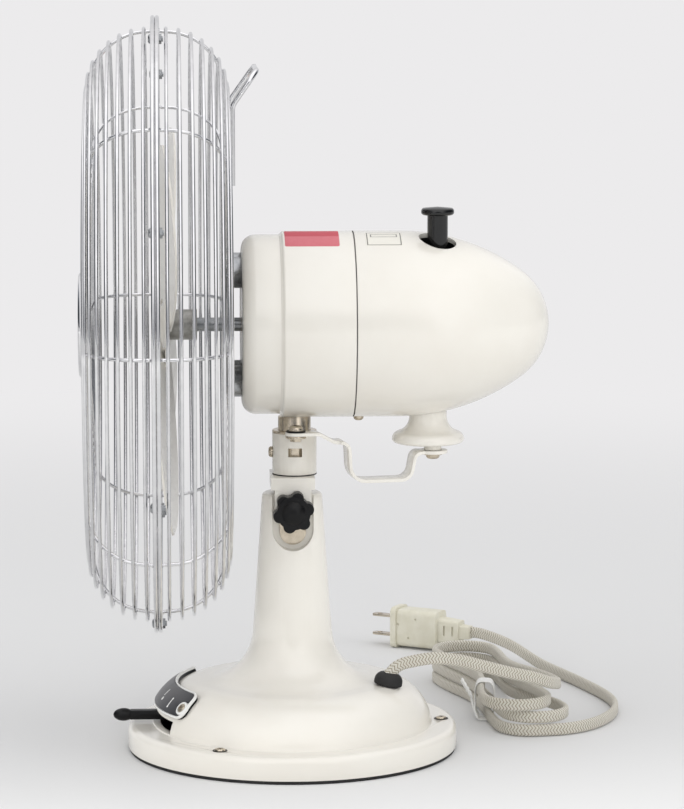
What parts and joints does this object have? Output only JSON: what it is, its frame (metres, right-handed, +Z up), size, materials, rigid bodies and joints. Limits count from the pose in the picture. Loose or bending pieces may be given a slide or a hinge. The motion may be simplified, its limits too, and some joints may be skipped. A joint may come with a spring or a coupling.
{
  "type": "oscillating table fan",
  "caption": "Oscillating table fan with a round chrome wire guard, bullet-shaped cream motor head, tilting neck on a domed base, and a flat braided cord lying in a tied hank.",
  "frame": {"origin": "centre of the round base at the surface it stands on", "axes": "+Z up, -Y the way the air leaves, +X to the side of the tilt knob"},
  "size_m": [0.4768, 0.3258, 0.4274],
  "materials": {
    "cream_paint": "gloss",
    "chrome_wire": "polished",
    "nickel": "satin",
    "steel": "satin",
    "black_plastic": "satin",
    "rubber": "matte",
    "white_trim": "gloss",
    "grey_plate": "satin",
    "moulding": "matte",
    "aluminium": "machined",
    "zinc": "cast",
    "bronze": "machined",
    "copper": "enamelled",
    "braid": "braided",
    "tie": "satin",
    "ivory_plastic": "satin"
  },
  "bodies": {
    "base": {"base_shell": "cream_paint", "base_plate": "steel", "foot_pad": "rubber", "flange_screws": "nickel", "switch_bezel": "white_trim", "switch_plate": "grey_plate", "switch_screws": "nickel", "switch_box": "moulding", "cord_gland": "rubber", "cord_lead": "braid", "cord_hank": "braid", "cord_tail": "braid", "cord_tie": "tie", "plug_body": "ivory_plastic", "plug_blades": "nickel", "tilt_bolt": "nickel"},
    "lever": {"switch_lever": "black_plastic"},
    "knob": {"tilt_knob": "black_plastic"},
    "neck": {"tilt_block": "cream_paint", "tilt_plates": "nickel", "pivot_collar": "cream_paint", "collar_screw": "nickel", "link_bracket": "nickel", "link_pivot_screw": "nickel"},
    "link": {"crank_link": "cream_paint"},
    "head": {"pivot_post": "nickel", "front_bell": "cream_paint", "motor_shell": "cream_paint", "rear_cover": "cream_paint", "cover_screw": "nickel", "stator": "steel", "windings": "copper", "front_bearing": "bronze", "rear_plate": "steel", "rear_bearing": "bronze", "gear_case": "zinc", "knob_well": "black_plastic", "guard_plate": "nickel", "guard_screws": "nickel", "rear_rings": "chrome_wire", "rear_ribs": "chrome_wire", "carry_handle": "chrome_wire", "front_rings": "chrome_wire", "front_ribs": "chrome_wire", "front_badge": "chrome_wire", "rim_screws": "nickel"},
    "crank": {"crank_disc": "cream_paint", "crank_screw": "nickel", "crank_shaft": "steel", "crank_gear": "bronze"},
    "pinion": {"pinion": "bronze"},
    "clutch": {"clutch_knob": "black_plastic", "clutch_spindle": "steel"},
    "wheel": {"worm_wheel": "bronze"},
    "rotor": {"motor_shaft": "steel", "rotor_core": "steel", "worm": "bronze", "fan_hub": "aluminium", "hub_set_screw": "steel", "fan_blades": "cream_paint"}
  },
  "joints": [
    {"name": "lever_turn", "type": "hinge", "parent": "base", "child": "lever", "pos_m": [0, -0.042, 0.02], "axis": [0, 0, 1], "range_deg": [-25, 25]},
    {"name": "knob_turn", "type": "hinge", "parent": "base", "child": "knob", "pos_m": [0.02, 0, 0.143], "axis": [1, 0, 0], "range_deg": [0, 360]},
    {"name": "tilt", "type": "hinge", "parent": "base", "child": "neck", "pos_m": [0, 0, 0.143], "axis": [1, 0, 0], "range_deg": [-12, 12]},
    {"name": "head_swing", "type": "hinge", "parent": "neck", "child": "head", "pos_m": [0, 0.0014, 0.19], "axis": [0, 0, 1], "range_deg": [-28, 28]},
    {"name": "link_swing", "type": "hinge", "parent": "neck", "child": "link", "pos_m": [0.025, 0.0014, 0.189], "axis": [0, 0, 1], "range_deg": [-27, 27]},
    {"name": "crank_turn", "type": "hinge", "parent": "head", "child": "crank", "pos_m": [0, 0.0792, 0.19], "axis": [0, 0, 1], "range_deg": [-53, 53]},
    {"name": "pinion_turn", "type": "hinge", "parent": "head", "child": "pinion", "pos_m": [0.0138, 0.08331, 0.224], "axis": [0, 0, 1], "range_deg": [-106, 106]},
    {"name": "clutch_slide", "type": "slide", "parent": "pinion", "child": "clutch", "axis": [0, 0, 1], "range_m": [-0.012, 0]},
    {"name": "blade_spin", "type": "hinge", "parent": "head", "child": "rotor", "pos_m": [0, -0.07, 0.2496], "axis": [0, -1, 0], "continuous": true},
    {"name": "wheel_turn", "type": "hinge", "parent": "head", "child": "wheel", "pos_m": [0.0138, 0.08331, 0.2496], "axis": [0, 0, 1], "continuous": true}
  ],
  "couplings": [
    {"joint": "link_swing", "follows": "head_swing", "ratio": 0.939},
    {"joint": "crank_turn", "follows": "head_swing", "ratio": -1.874},
    {"joint": "pinion_turn", "follows": "head_swing", "ratio": 3.748},
    {"joint": "wheel_turn", "follows": "blade_spin", "ratio": 0.05}
  ]
}
